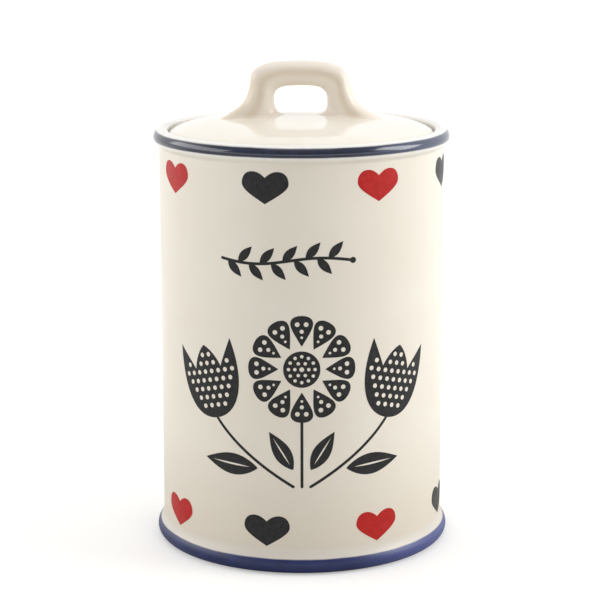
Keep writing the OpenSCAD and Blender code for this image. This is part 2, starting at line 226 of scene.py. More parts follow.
def make_object(name, points, faces, material, crease=35):
    """A smooth mesh object from points in millimetres. Edges sharper than crease stay sharp."""
    mesh = bpy.data.meshes.new(name)
    mesh.from_pydata([Vector(p) * MM for p in points], [], faces)
    mesh.validate()
    mesh.shade_smooth()
    mesh.set_sharp_from_angle(angle=math.radians(crease))
    mesh.materials.append(material)
    piece = bpy.data.objects.new(name, mesh)
    bpy.context.scene.collection.objects.link(piece)
    return piece


def dress(piece, body, slot, *nodes):
    """The piece rides on its body and stands for its CAD nodes, which it hides. slot is not used.
    """
    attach(piece, body)
    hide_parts(*nodes)
    return piece


def turned(name, section, material, closed=False):
    """A turned piece from a section of (radius, height) points.

    An open section starts and ends on the axis.
    """
    points, faces = [], []
    rows = []
    for r, z in section:
        if r < 1e-6:
            rows.append([len(points)] * TURN_STEPS)
            points.append((0, 0, z))
            continue
        rows.append([len(points) + i for i in range(TURN_STEPS)])
        for i in range(TURN_STEPS):
            a = 2 * math.pi * i / TURN_STEPS
            points.append((r * math.cos(a), r * math.sin(a), z))
    pairs = list(zip(rows, rows[1:]))
    if closed:
        pairs.append((rows[-1], rows[0]))
    for low, high in pairs:
        for i in range(TURN_STEPS):
            j = (i + 1) % TURN_STEPS
            corners = [low[i], low[j], high[j], high[i]]
            face = [c for n, c in enumerate(corners) if c not in corners[:n]]
            if len(face) > 2:
                faces.append(face)
    return make_object(name, points, faces, material)


# ---- Materials ----


class Nodes:
    """A small helper that adds nodes to one material or world and links them as it goes."""

    def __init__(self, tree):
        self.tree = tree
        tree.nodes.clear()

    def add(self, kind, inputs=None, **settings):
        node = self.tree.nodes.new(kind)
        for key, value in settings.items():
            setattr(node, key, value)
        for key, value in (inputs or {}).items():
            if isinstance(value, bpy.types.NodeSocket):
                self.tree.links.new(value, node.inputs[key])
            else:
                node.inputs[key].default_value = value
        return node

    def place(self):
        """Place in the object's own frame, in metres."""
        return self.add("ShaderNodeTexCoord").outputs["Object"]

    def noise(self, scale, detail=2.0, roughness=0.5):
        """Soft noise about 0.5, with some scale features to the metre."""
        texture = self.add(
            "ShaderNodeTexNoise",
            {"Vector": self.place(), "Scale": scale, "Detail": detail, "Roughness": roughness},
        )
        return texture.outputs["Fac"]

    def remap(self, value, low, high, to_low, to_high, smooth=False):
        node = self.add(
            "ShaderNodeMapRange",
            {"Value": value, "From Min": low, "From Max": high,
             "To Min": to_low, "To Max": to_high},
            interpolation_type="SMOOTHSTEP" if smooth else "LINEAR",
        )
        return node.outputs["Result"]

    def maths(self, operation, a, b):
        return self.add("ShaderNodeMath", {0: a, 1: b}, operation=operation).outputs[0]

    def mix(self, factor, a, b):
        node = self.add("ShaderNodeMix", data_type="RGBA")
        for key, value in ((0, factor), (6, a), (7, b)):
            if isinstance(value, bpy.types.NodeSocket):
                self.tree.links.new(value, node.inputs[key])
            else:
                node.inputs[key].default_value = value
        return node.outputs[2]

    def along(self, axis):
        """Place along the X, Y or Z axis, in metres. Z is the height above the ground."""
        return self.add("ShaderNodeSeparateXYZ", {"Vector": self.place()}).outputs[axis]

    def backdrop_seen(self, behind):
        """1 for the rays that should meet plain white, and 0 for others.

        These are the camera's, transmitted ones and reflections of what is behind.
        """
        path = self.add("ShaderNodeLightPath").outputs
        reflected = self.maths("MULTIPLY", path["Is Glossy Ray"], behind)
        direct = self.maths("MAXIMUM", path["Is Camera Ray"], path["Is Transmission Ray"])
        return self.maths("MAXIMUM", direct, reflected)

    def bump(self, layers):
        """Layers of (height value, distance in metres), one over the other."""
        normal = None
        for value, distance in layers:
            inputs = {"Height": value, "Strength": 1.0, "Distance": distance}
            if normal is not None:
                inputs["Normal"] = normal
            normal = self.add("ShaderNodeBump", inputs).outputs["Normal"]
        return normal

    def principled(self, inputs):
        shader = self.add("ShaderNodeBsdfPrincipled", inputs)
        self.add("ShaderNodeOutputMaterial", {"Surface": shader.outputs["BSDF"]})
        return shader


def rgba(red, green, blue):
    """A colour as a screen shows it, 0 to 255, in the linear form that shaders take."""
    def linear(c):
        c /= 255
        return c / 12.92 if c <= 0.04045 else ((c + 0.055) / 1.055) ** 2.4

    return (linear(red), linear(green), linear(blue), 1.0)


WALL_GLAZE = rgba(228, 222, 209)
# the deeper tone that the wall's glaze drifts to at random, also used as the painted shade low on
# the wall
WALL_GLAZE_DEEP_AND_SHADE = rgba(217, 208, 192)
# painted shade: the glaze on the foot and its fillet, darkened where the wall shades it from above
FOOT_GLAZE_SHADED = rgba(208, 202, 192)
LID_GLAZE = rgba(236, 230, 219)
LID_GLAZE_DEEP = rgba(230, 223, 209)
# painted shade: the handle wears the lid's ivory glaze, set darker here to stand in for shade
HANDLE_GLAZE_SHADED = rgba(229, 219, 206)
# the deeper tone that the handle's glaze drifts to at random, also used as the painted shade in the
# strap's hollow and on its left leg
HANDLE_GLAZE_DEEP_AND_SHADE = rgba(211, 197, 175)
BISQUE = rgba(214, 203, 186)
RIM_GLAZE = rgba(233, 230, 225)
RIM_BLUE = rgba(10, 20, 42)
RIM_BLUE_THIN = rgba(34, 42, 72)
# painted highlight: the rim line's lighter blue on its right front, where the right lamp falls
RIM_BLUE_LIT = rgba(58, 66, 92)
FOOT_BLUE = rgba(6, 24, 74)
FOOT_BLUE_THIN = rgba(22, 40, 104)
# painted highlight: the foot line's lighter blue on its right front, where the right lamp falls
FOOT_BLUE_LIT = rgba(62, 72, 128)
RED_INK = rgba(168, 14, 12)
RED_INK_THIN = rgba(186, 30, 24)
CHARCOAL_INK = rgba(24, 24, 26)
CHARCOAL_INK_THIN = rgba(42, 41, 42)
SILICONE = rgba(222, 224, 221)
SILICONE_CLOUDY = rgba(206, 209, 207)

# Levels between which most of a noise lies.
NOISE_WIDE = (0.3, 0.7)
NOISE_NARROW = (0.35, 0.65)

# How far a glaze's tone drifts from its main colour to its deep or thin one.
WALL_DRIFT, LID_DRIFT, HANDLE_DRIFT, LINE_DRIFT = 0.35, 1.0, 0.2, 0.6

# Index of refraction, and lowest and highest roughness.
WALL_IOR, WALL_ROUGH = 1.5, (0.36, 0.42)
LID_IOR, LID_ROUGH = 1.52, (0.07, 0.1)
HANDLE_IOR, HANDLE_ROUGH = 1.5, (0.28, 0.34)
RIM_LINE_IOR, RIM_LINE_ROUGH = 1.66, (0.12, 0.16)
FOOT_LINE_IOR, FOOT_LINE_ROUGH = 1.54, (0.4, 0.44)
INK_IOR, INK_ROUGH = 1.36, (0.4, 0.48)  # the ink lies matter than the glaze around it
SILICONE_IOR, SILICONE_ROUGH = 1.41, (0.42, 0.55)
BARE_ROUGHER = 0.4  # how much rougher the bare clay under the foot ring is
SILICONE_GLOW, SILICONE_DEPTH = 0.25, 0.004  # share of light that soaks in, and how far

# Where the glazes change, in metres.
PAINTED_SHADE_Z = (0.012, 0.075)  # painted shade darkens the wall's glaze fully below these heights, and not at all above them
# painted shade darkens the glaze on the foot below these heights
FOOT_SHADE_Z = (0.008, 0.015)
RIM_GLAZE_Z = (0.199, 0.203)
BARE_Z = (0.0001, 0.0005)
BARE_WAVE = 0.0003  # how unevenly the glaze was wiped off the foot ring
LINE_WAVE = 0.00012  # how unevenly a line's edges were drawn
RISE_Y = (-0.066, -0.03)  # where a line's upper edge rises, from front to back
LIT_RIGHT_X = (0.02, 0.055)  # where a painted highlight sets in on a line, from the middle to the right
LIT_RIGHT_Y = (-0.015, 0.02)  # and where that painted highlight ends, from front to back

SHADE_ATTRIBUTE = "hollow"  # attribute of the strap's mesh: how much painted shade darkens its glaze, 0 to 1


def new_material(name):
    material = bpy.data.materials.new(name)
    material.use_nodes = True
    return material, Nodes(material.node_tree)


def glaze_bump(n, ripple=0.00006, peel=0.000012):
    """The slow ripple of a dipped glaze and its fine orange peel."""
    return n.bump([(n.noise(38, detail=1.0), ripple), (n.noise(620, detail=2.0), peel)])


def wall_material():
    """Satin cream glaze with painted shade that darkens it towards the foot and more on the foot,
    with bare clay under the foot ring.
    """
    material, n = new_material("wall_glaze")
    tone = n.remap(n.noise(22, detail=3.0), *NOISE_NARROW, 0.0, WALL_DRIFT)
    # painted shade: the wall darkens towards the foot, where less light reaches it
    painted_shade = n.remap(n.along("Z"), *PAINTED_SHADE_Z, 1.0, 0.0, smooth=True)
    glaze = n.mix(n.maths("MAXIMUM", tone, painted_shade), WALL_GLAZE, WALL_GLAZE_DEEP_AND_SHADE)
    # painted shade: the foot's glaze is darker below these heights
    glaze = n.mix(n.remap(n.along("Z"), *FOOT_SHADE_Z, 1.0, 0.0, smooth=True), glaze, FOOT_GLAZE_SHADED)
    glaze = n.mix(n.remap(n.along("Z"), *RIM_GLAZE_Z, 0.0, 1.0, smooth=True), glaze, RIM_GLAZE)
    wave = n.remap(n.noise(240), 0, 1, -BARE_WAVE, BARE_WAVE)
    bare = n.remap(n.maths("ADD", n.along("Z"), wave), *BARE_Z, 1.0, 0.0)
    satin = n.remap(n.noise(90), *NOISE_WIDE, *WALL_ROUGH)
    n.principled({
        "Base Color": n.mix(bare, glaze, BISQUE),
        "Roughness": n.maths("ADD", satin, n.maths("MULTIPLY", bare, BARE_ROUGHER)),
        "IOR": WALL_IOR,
        "Normal": glaze_bump(n),
    })
    return material


def lid_material():
    """Glossy ivory glaze with a slow change of tone."""
    material, n = new_material("lid_glaze")
    tone = n.remap(n.noise(30, detail=3.0), *NOISE_NARROW, 0.0, LID_DRIFT)
    n.principled({
        "Base Color": n.mix(tone, LID_GLAZE, LID_GLAZE_DEEP),
        "Roughness": n.remap(n.noise(120), *NOISE_WIDE, *LID_ROUGH),
        "IOR": LID_IOR,
        "Normal": glaze_bump(n, ripple=0.00004, peel=0.000004),
    })
    return material


def handle_material():
    """Satin ivory glaze, set darker than the lid's as painted shade, with more painted shade in the
    strap's hollow and down the outside of its left leg.
    """
    material, n = new_material("handle_glaze_shaded")
    tone = n.remap(n.noise(30, detail=3.0), *NOISE_NARROW, 0.0, HANDLE_DRIFT)
    # painted shade, stored on the strap's mesh
    painted_shade = n.add("ShaderNodeAttribute", attribute_name=SHADE_ATTRIBUTE).outputs["Fac"]
    n.principled({
        "Base Color": n.mix(n.maths("MAXIMUM", tone, painted_shade), HANDLE_GLAZE_SHADED, HANDLE_GLAZE_DEEP_AND_SHADE),
        "Roughness": n.remap(n.noise(120), *NOISE_WIDE, *HANDLE_ROUGH),
        "IOR": HANDLE_IOR,
        "Normal": glaze_bump(n, ripple=0.00004, peel=0.000008),
    })
    return material


def line_material(name, low, high, under, blues, ior, rough, rise=0.0):
    """A hand-lined glaze band between two heights in millimetres, thin and uneven at its edges.

    blues are its full and thin colours and a lighter one, a painted highlight on the front's right,
    where the right lamp falls. rise is how much higher the upper edge runs behind than in front.
    """
    material, n = new_material(name)
    full, thin, lit_blue = blues
    wobble = n.remap(n.noise(55, detail=3.0), 0.2, 0.8, -LINE_WAVE, LINE_WAVE)
    height = n.maths("ADD", n.along("Z"), wobble)
    low, high, fade = low * MM, high * MM, LINE_FADE * MM
    depth = n.along("Y")
    upper = n.maths("SUBTRACT", height, n.remap(depth, *RISE_Y, 0.0, rise * MM, smooth=True))
    body = n.maths("MULTIPLY",
                   n.remap(height, low - fade, low + fade, 0.0, 1.0, smooth=True),
                   n.remap(upper, high - fade, high + fade, 1.0, 0.0, smooth=True))
    tone = n.remap(n.noise(140, detail=4.0), *NOISE_WIDE, 0.0, LINE_DRIFT)
    # painted highlight: the line turns lighter on its right front, facing the right lamp
    lit_right = n.maths("MULTIPLY",
                  n.remap(n.along("X"), *LIT_RIGHT_X, 0.0, 1.0, smooth=True),
                  n.remap(depth, *LIT_RIGHT_Y, 1.0, 0.0, smooth=True))
    n.principled({
        "Base Color": n.mix(body, under, n.mix(lit_right, n.mix(tone, full, thin), lit_blue)),
        "Roughness": n.remap(n.noise(90), *NOISE_WIDE, *rough),
        "IOR": ior,
        "Normal": glaze_bump(n, ripple=0.00003, peel=0.000004),
    })
    return material


def ink_material(name, ink, thin):
    """A transfer print fused under the satin glaze, with the slight mottle of screened ink."""
    material, n = new_material(name)
    mottle = n.remap(n.noise(420, detail=5.0, roughness=0.65), 0.35, 0.7, 0.0, 1.0)
    n.principled({
        "Base Color": n.mix(mottle, ink, thin),
        "Roughness": n.remap(n.noise(160), *NOISE_WIDE, *INK_ROUGH),
        "IOR": INK_IOR,
        "Normal": glaze_bump(n, ripple=0.00006, peel=0.00001),
    })
    return material


def silicone_material():
    """Milky silicone with a fine moulded bloom."""
    material, n = new_material("milky_silicone")
    n.principled({
        "Base Color": n.mix(n.noise(300, detail=4.0), SILICONE, SILICONE_CLOUDY),
        "Roughness": n.remap(n.noise(500), *NOISE_WIDE, *SILICONE_ROUGH),
        "IOR": SILICONE_IOR,
        "Subsurface Weight": SILICONE_GLOW,
        "Subsurface Radius": (SILICONE_DEPTH, SILICONE_DEPTH, SILICONE_DEPTH),
        "Normal": n.bump([(n.noise(900, detail=3.0), 0.000015)]),
    })
    return material


wall_glaze = wall_material()
lid_glaze = lid_material()
handle_glaze_shaded = handle_material()
red_ink = ink_material("red_ink", RED_INK, RED_INK_THIN)
charcoal_ink = ink_material("charcoal_ink", CHARCOAL_INK, CHARCOAL_INK_THIN)


# ---- Jar ----


def jar_section():
    """The jar's section, from the underside's middle round the outside to the floor's middle."""
    foot_r, rim_r = FOOT_BEAD_R - SHELL_IN, RIM_BEAD_R - SHELL_IN
    lip = math.acos((RECESS_R - RIM_BEAD_X) / rim_r)
    under = rounded([
        (0, FOOT_RECESS, 0),
        (FOOT_BEAD_X - FOOT_W - FOOT_RECESS, FOOT_RECESS, 1.5),
        (FOOT_BEAD_X - FOOT_W, 0, 0.6),
        (FOOT_BEAD_X - 1, 0, 0),
    ])
    outside = (
        arc(FOOT_BEAD_X, FOOT_BEAD_R, foot_r, -math.pi / 2, FOOT_TANGENT, 2 * ARC_STEPS)[:-1]
        + arc(JAR_R + FOOT_FILLET_R, FOOT_FILLET_Z, FOOT_FILLET_R + SHELL_IN,
              math.pi + FOOT_TANGENT, math.pi)
        + arc(JAR_R + RIM_FILLET_R, RIM_FILLET_Z, RIM_FILLET_R + SHELL_IN,
              math.pi, math.pi - RIM_TANGENT)[:-1]
        + arc(RIM_BEAD_X, RIM_BEAD_Z, rim_r, -RIM_TANGENT, lip, 2 * ARC_STEPS)
    )
    lip_end = outside[-1]
    inside = rounded([
        (lip_end.x, lip_end.y, 0),
        (RECESS_R, SEAT_Z, 0.7),
        (MOUTH_R, SEAT_Z, 1.0),
        (MOUTH_R, SEAT_Z - LEDGE_T, 1.5),
        (INNER_R, SEAT_Z - LEDGE_T - LEDGE_SLOPE, 4),
        (INNER_R, FLOOR_Z, COVE_R),
        (0, FLOOR_Z, 0),
    ], ARC_STEPS)
    return under + outside + inside[1:]


def glaze_line(name, node, runs, material):
    """A thin glaze line along arcs of the jar's outside.

    Each run is (x, z, radius, start, end, side). side is 1 on a bead and -1 on a fillet.
    """
    outer, inner = [], []
    for x, z, r, start, end, side in runs:
        outer += arc(x, z, r - side * (SHELL_IN - PRINT_LIFT), start, end)
        inner += arc(x, z, r - side * (SHELL_IN + PRINT_SINK), start, end)
    piece = turned(name, outer + inner[::-1], material, closed=True)
    return dress(piece, "jar", "blue_glaze", node)


def make_jar():
    dress(turned("jar_shell", jar_section(), wall_glaze), "jar", "cream_glaze", "jar_body")

    low = math.asin((RIM_BEAD_R - RIM_BAND_LOW - LINE_SPREAD) / RIM_BEAD_R)
    top = math.asin((RIM_BEAD_R - RIM_BAND_TOP + LINE_SPREAD) / RIM_BEAD_R)
    rim_line = line_material("rim_line", JAR_H - RIM_BAND_LOW, JAR_H - RIM_BAND_TOP, RIM_GLAZE,
                             (RIM_BLUE, RIM_BLUE_THIN, RIM_BLUE_LIT),
                             RIM_LINE_IOR, RIM_LINE_ROUGH)
    glaze_line("rim_glaze_line", "rim_band", [
        (RIM_BEAD_X, RIM_BEAD_Z, RIM_BEAD_R, low, top, 1),
    ], rim_line)

    low = math.asin((FOOT_BAND_LOW - FOOT_SPREAD - FOOT_BEAD_R) / FOOT_BEAD_R)
    top = math.pi + math.asin((FOOT_FILLET_Z - FOOT_BAND_TOP - LINE_SPREAD) / FOOT_FILLET_R)
    foot_line = line_material("foot_line", FOOT_BAND_LOW, FOOT_BAND_TOP, FOOT_GLAZE_SHADED,
                              (FOOT_BLUE, FOOT_BLUE_THIN, FOOT_BLUE_LIT),
                              FOOT_LINE_IOR, FOOT_LINE_ROUGH, FOOT_RISE)
    glaze_line("foot_glaze_line", "foot_band", [
        (FOOT_BEAD_X, FOOT_BEAD_R, FOOT_BEAD_R, low, FOOT_TANGENT, 1),
        (JAR_R + FOOT_FILLET_R, FOOT_FILLET_Z, FOOT_FILLET_R, math.pi + FOOT_TANGENT, top, -1),
    ], foot_line)


# ---- Prints ----

LEAF_SKEW = 0.85  # below 1, a leaf is widest nearer its foot
PETAL_SKEW = 1.35  # above 1, a petal is widest nearer its tip
PETAL_FULL = 0.7  # below 1, a petal's sides are fuller
PETAL_TIP = 1.5  # above 1, a petal's tip is rounder


def mirrored(points):
    """The other half of an outline that is symmetric about its vertical axis."""
    return [Vector((-p.x, p.y)) for p in reversed(points)]


def placed(points, u, v, degrees=0.0):
    """Turns an outline about its origin and moves it to (u, v) on the unrolled wall."""
    turn = Matrix.Rotation(math.radians(degrees), 2)
    return [turn @ p + Vector((u, v)) for p in points]


def disc(u, v, r, steps=18):
    return [Vector((u, v)) + r * Vector((math.cos(a), math.sin(a)))
            for a in (2 * math.pi * i / steps for i in range(steps))]


def heart():
    """A heart that stands on its tip."""
    half, lobe, shoulder = HEART_W / 2, 0.53 * HEART_W / 2, 0.63 * HEART_H
    side = (
        curve([(0, 0), (0.45 * half, 0.21 * HEART_H),
               (half, 0.42 * HEART_H), (half, shoulder)], 16)
        + curve([(half, shoulder), (half, 0.86 * HEART_H),
                 (0.82 * half, HEART_H), (lobe, HEART_H)], 16)[1:]
        + curve([(lobe, HEART_H), (0.3 * half, HEART_H),
                 (0.12 * half, HEART_H - 0.55 * CLEFT_H), (0, HEART_H - CLEFT_H)], 12)[1:]
    )
    return side + mirrored(side)[1:-1]


def blade(length, widths):
    """An outline along +X, symmetric about it.

    widths gives (share of the length, half width) for 0 to 1 along it.
    """
    upper = [widths(i / 24) for i in range(25)]
    upper = [Vector((x * length, w)) for x, w in upper]
    return upper + [Vector((p.x, -p.y)) for p in reversed(upper[1:-1])]


def leaf(length, width):
    return blade(length, lambda t: (t, width / 2 * math.sin(math.pi * t**LEAF_SKEW)))


def petal(length, width):
    def widths(t):
        full = abs(math.sin(math.pi * t**PETAL_SKEW)) ** PETAL_FULL
        return 1 - (1 - t) ** PETAL_TIP, width / 2 * full

    return blade(length, widths)


def tulip():
    """A tulip that stands on its stem's end, with two side tips and one in the middle."""
    half = TULIP_W / 2
    side = (
        curve([(0, 0), (0.75 * half, 0),
               (1.12 * half, 0.42 * TULIP_H), (0.92 * half, TULIP_H)], 24)
        + curve([(0.92 * half, TULIP_H), (0.72 * half, 0.86 * TULIP_H),
                 (0.6 * half, 0.78 * TULIP_H), (0.45 * half, 0.66 * TULIP_H)], 10)[1:]
        + curve([(0.45 * half, 0.66 * TULIP_H), (0.36 * half, 0.8 * TULIP_H),
                 (0.2 * half, 0.9 * TULIP_H), (0, 0.96 * TULIP_H)], 10)[1:]
    )
    return side + mirrored(side)[1:-1]


def strip(points, width):
    """A strip of one width along a list of points, with round ends."""
    last = len(points) - 1
    ways = []
    for i in range(last + 1):
        way = (points[min(i + 1, last)] - points[max(i - 1, 0)]).normalized()
        ways.append(Vector((-way.y, way.x)) * width / 2)
    ends = []
    for p, way in ((points[-1], ways[-1]), (points[0], -ways[0])):
        ends.append([p + Matrix.Rotation(-math.pi * i / 6, 2) @ way for i in range(1, 6)])
    left = [p + w for p, w in zip(points, ways)]
    right = [p - w for p, w in zip(points, ways)]
    return left + ends[0] + right[::-1] + ends[1]


def inside(outline, p):
    """Whether a point lies within an outline."""
    hit = False
    for a, b in zip(outline, outline[1:] + outline[:1]):
        if (a.y > p.y) != (b.y > p.y) and p.x < (b.x - a.x) * (p.y - a.y) / (b.y - a.y) + a.x:
            hit = not hit
    return hit


def edge_gap(outline, p):
    """Distance from a point to an outline."""
    best = 1e9
    for a, b in zip(outline, outline[1:] + outline[:1]):
        along = b - a
        t = max(0.0, min(1.0, (p - a).dot(along) / max(along.length_squared, 1e-12)))
        best = min(best, (p - a - along * t).length)
    return best


def box_of(outline):
    """Left, right, lower and upper end of an outline."""
    xs, ys = [p.x for p in outline], [p.y for p in outline]
    return min(xs), max(xs), min(ys), max(ys)


def grid_in(outline, spacing, margin, stagger=False):
    """Points of a square or staggered grid that lie inside an outline, clear of its edge."""
    left, right, low, high = box_of(outline)
    middle = (left + right) / 2
    rows = int((high - low) / spacing) + 1
    found = []
    for j in range(rows):
        y = low + spacing / 2 + j * spacing
        shift = spacing / 2 if stagger and j % 2 else 0
        count = int((right - left) / spacing / 2) + 2
        for i in range(-count, count + 1):
            p = Vector((middle + i * spacing + shift, y))
            if inside(outline, p) and edge_gap(outline, p) > margin:
                found.append(p)
    return found


def transfer(name, node, slot, outlines, holes, material):
    """A thin printed skin on the wall: outlines on the unrolled wall, less the holes in them."""
    points, edges = [], []
    for loop in outlines + holes:
        first = len(points)
        points += loop
        edges += [(first + i, first + (i + 1) % len(loop)) for i in range(len(loop))]
    for outline in outlines:
        points += grid_in(outline, PRINT_GRID, GRID_CLEAR * PRINT_GRID)
    flat, _, triangles, *_ = delaunay_2d_cdt(points, edges, [], 0, 1e-4)
    printed, bare = [(box_of(o), o) for o in outlines], [(box_of(h), h) for h in holes]

    def within(shapes, p):
        return any(b[0] < p.x < b[1] and b[2] < p.y < b[3] and inside(o, p) for b, o in shapes)

    kept = []
    for triangle in triangles:
        middle = sum((flat[i] for i in triangle), Vector((0, 0))) / 3
        if within(printed, middle) and not within(bare, middle):
            kept.append(tuple(triangle))
    used = sorted({i for t in kept for i in t})
    index = {old: new for new, old in enumerate(used)}
    kept = [tuple(index[i] for i in t) for t in kept]
    flat = [flat[i] for i in used]
    n = len(flat)
    wall_r = JAR_R - SHELL_IN
    solid = [on_wall(p, r) for r in (wall_r + PRINT_LIFT, wall_r - PRINT_SINK) for p in flat]
    sides = {}
    for t in kept:
        for a, b in ((t[0], t[1]), (t[1], t[2]), (t[2], t[0])):
            if sides.pop((b, a), None) is None:
                sides[a, b] = True
    faces = kept + [(t[2] + n, t[1] + n, t[0] + n) for t in kept]
    faces += [(a, a + n, b + n, b) for a, b in sides]
    piece = make_object(name, solid, faces, material)
    return dress(piece, "jar", slot, node)


def on_wall(p, r):
    """A point of the unrolled wall, wrapped to radius r. u runs to the right from the front."""
    angle = p.x / JAR_R
    return (r * math.sin(angle), -r * math.cos(angle), p.y)


def around(degrees):
    """Distance along the wall for an angle from the front."""
    return math.radians(degrees) * JAR_R


UPPER_TIP_Z = RIM_FILLET_Z - UPPER_ROW - HEART_H
LOWER_TIP_Z = FOOT_FILLET_Z + LOWER_ROW
FLOWER_BASE = LOWER_TIP_Z + HEART_H + FLOWER_GAP
SPRIG_Z = UPPER_TIP_Z - SPRIG_DROP
SPRIG_WAVE = 1.6
SPRIG_LEAF_ANGLE = 48
SPRIG_HALF_H = SPRIG_LEAF_L * math.sin(math.radians(SPRIG_LEAF_ANGLE)) + SPRIG_WAVE
FLOWER_H = SPRIG_Z - SPRIG_HALF_H - SPRIG_GAP - FLOWER_BASE


def make_hearts():
    for first, name, node, slot, ink in (
        (1, "red_heart_transfers", "hearts_red", "red_transfer", red_ink),
        (0, "charcoal_heart_transfers", "hearts_charcoal", "charcoal_transfer", charcoal_ink),
    ):
        outlines = [
            placed(heart(), around(ROW_TURN + i * 360 / HEARTS), z)
            for i in range(first, HEARTS, 2)
            for z in (LOWER_TIP_Z, UPPER_TIP_Z)
        ]
        transfer(name, node, slot, outlines, [], ink)


DOT_R = 1.15
DOT_MARGIN = 1.0
DOT_SPACING = 4.1
CORE_SHARE, PETAL_START = 0.34, 0.43  # of the bloom's radius
PETAL_BELLY, PETAL_GAP = 0.85, 0.8  # where petals are widest, as a share, and the gap between them
CORE_DOT_RINGS = ((3.3, 6), (6.3, 12))  # radius and number
CORE_DOT_R = 0.85
PETAL_DOTS = ((10.6, -2.1, 1.15), (10.6, 2.1, 1.15), (7.2, 0, 1.0), (4.3, 0, 0.65))  # x, y, radius
TULIP_TOP, FORK = 0.8, 0.1  # tulips' tips and leaves' feet, as shares of the print's height
VEIN_L, VEIN_W, VEIN_START = 0.72, 0.09, 0.14  # as shares of the leaf
SMALL_L, SMALL_W = 0.75, 0.8  # the inner leaves, as shares of the outer ones
INNER_ANGLE, OUTER_ANGLE = 58, 4  # the leaves' slope in degrees
STEM_PULL_LOW, STEM_PULL_HIGH = 0.15, 0.2  # how far along the tulips' stems their bends lie


def dotted(outline):
    """Round holes in a staggered grid, clear of an outline's edge."""
    return [disc(p.x, p.y, DOT_R)
            for p in grid_in(outline, DOT_SPACING, DOT_R + DOT_MARGIN, stagger=True)]


def make_flower():
    """The front's large print: a round bloom between two tulips, with stems and leaves."""
    outlines, holes = [], []

    def add(shape, marks, u, v, degrees=0.0):
        outlines.append(placed(shape, u, v, degrees))
        holes.extend(placed(m, u, v, degrees) for m in marks)

    bloom_v = FLOWER_BASE + FLOWER_H - BLOOM_R
    core_r, gap_r = CORE_SHARE * BLOOM_R, PETAL_START * BLOOM_R
    petal_w = 2 * math.pi * PETAL_BELLY * BLOOM_R / PETALS - PETAL_GAP
    core_marks = [disc(0, 0, DOT_R)]
    for ring, count in CORE_DOT_RINGS:
        core_marks += [disc(ring * math.cos(a), ring * math.sin(a), CORE_DOT_R)
                       for a in (2 * math.pi * i / count for i in range(count))]
    add(disc(0, 0, core_r, 48), core_marks, 0, bloom_v)
    long_petal = petal(BLOOM_R - gap_r, petal_w)
    petal_marks = [disc(*dot) for dot in PETAL_DOTS]
    for i in range(PETALS):
        degrees = i * 360 / PETALS
        foot = Matrix.Rotation(math.radians(degrees), 2) @ Vector((gap_r, 0))
        add(long_petal, petal_marks, foot.x, bloom_v + foot.y, degrees)

    tilt = math.radians(TULIP_LEAN)
    tulip_u = (FLOWER_W - TULIP_W) / 2 - TULIP_H * math.sin(tilt)
    tulip_v = TULIP_TOP * FLOWER_H - TULIP_H * math.cos(tilt)
    stem_foot = 3 * STEM_W
    stem_top = FLOWER_BASE + FLOWER_H - 2 * BLOOM_R
    outlines.append(strip([Vector((0, FLOWER_BASE)), Vector((0, stem_top))], STEM_W))
    for side in (-1, 1):
        add(tulip(), dotted(tulip()), side * tulip_u, FLOWER_BASE + tulip_v, -side * TULIP_LEAN)
        a, b = Vector((side * stem_foot, 0)), Vector((side * tulip_u, tulip_v))
        bend = Vector((side * stem_foot, 0))
        middle = (a + b) / 2
        path = curve([a, middle + (a - b) * STEM_PULL_LOW + bend,
                      middle + (b - a) * STEM_PULL_HIGH + bend, b], 24)
        outlines.append(strip([p + Vector((0, FLOWER_BASE)) for p in path], STEM_W))
        for length, width, u, degrees in (
            (SMALL_L * LEAF_L, SMALL_W * LEAF_W, side * stem_foot, INNER_ANGLE),
            (LEAF_L, LEAF_W, side * tulip_u / 2, OUTER_ANGLE),
        ):
            vein = placed(leaf(VEIN_L * length, VEIN_W * width), VEIN_START * length, 0)
            add(leaf(length, width), [vein], u, FLOWER_BASE + FORK * FLOWER_H,
                degrees if side > 0 else 180 - degrees)
    transfer("flower_transfer", "flower_print", "charcoal_transfer", outlines, holes, charcoal_ink)


SPRIG_START, SPRIG_RUN = -0.9, 1.7  # first leaf and run of the leaves; the stem is from -1 to 1
SPRIG_BUD_R = 1.5


def make_sprig():
    """The small print above: a stem with leaves on both sides in turn, and a bud at its end."""
    def stem(u):
        return Vector((u * SPRIG_W / 2, SPRIG_WAVE * math.sin(math.pi * u)))

    outlines = [strip([stem(i / 24) for i in range(-24, 25)], STEM_W),
                disc(*stem(1), SPRIG_BUD_R)]
    for i in range(SPRIG_LEAVES):
        for side in (-1, 1):
            u = SPRIG_RUN * (i + (0.5 if side > 0 else 0)) / SPRIG_LEAVES + SPRIG_START
            outlines.append(
                placed(leaf(SPRIG_LEAF_L, SPRIG_LEAF_W), *stem(u), side * SPRIG_LEAF_ANGLE))
    outlines = [placed(o, around(SPRIG_TURN), SPRIG_Z) for o in outlines]
    transfer("sprig_transfer", "sprig_print", "charcoal_transfer", outlines, [], charcoal_ink)


# ---- Lid, handle and seal ----

DOME_STEPS = 48


